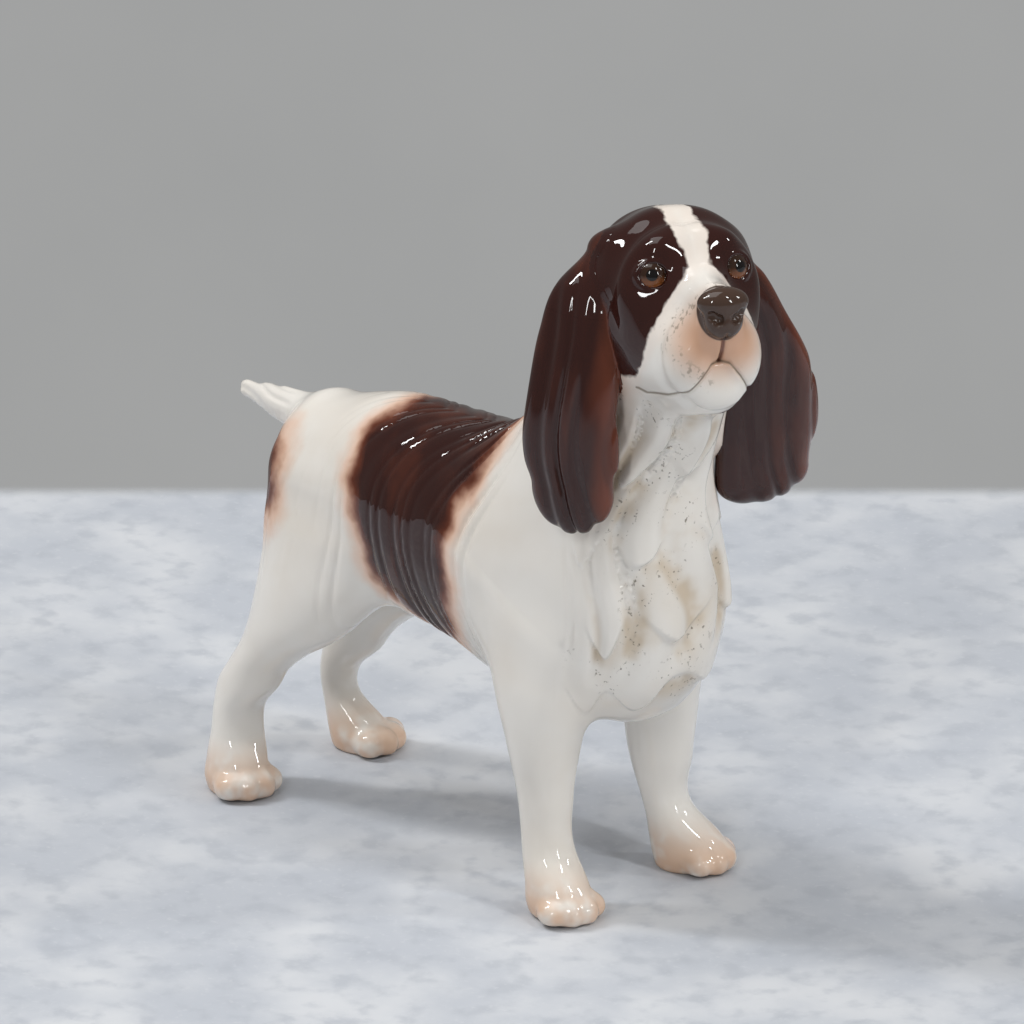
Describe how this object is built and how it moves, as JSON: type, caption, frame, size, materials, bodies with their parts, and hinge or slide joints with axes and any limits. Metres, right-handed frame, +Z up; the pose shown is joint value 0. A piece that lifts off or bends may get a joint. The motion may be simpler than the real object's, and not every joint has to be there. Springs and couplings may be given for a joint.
{
  "type": "dog figurine",
  "caption": "Glossy liver-and-white ceramic spaniel figurine standing on its four paws, head turned aside, long hanging ears and a short docked tail.",
  "frame": {"origin": "centre of the bounding box's footprint, at the level of the soles", "axes": "+X is the way the dog faces, +Y is its left, +Z is up; the soles lie on Z = 0"},
  "size_m": [0.1326, 0.051, 0.1258],
  "materials": {
    "white_glaze": "glossy",
    "liver_glaze": "glossy"
  },
  "bodies": {
    "root": {"trunk": "white_glaze", "head": "white_glaze", "ear_right": "liver_glaze", "ear_left": "liver_glaze", "tail": "white_glaze", "foreleg_right": "white_glaze", "foreleg_left": "white_glaze", "hind_leg_right": "white_glaze", "hind_leg_left": "white_glaze"}
  },
  "joints": []
}
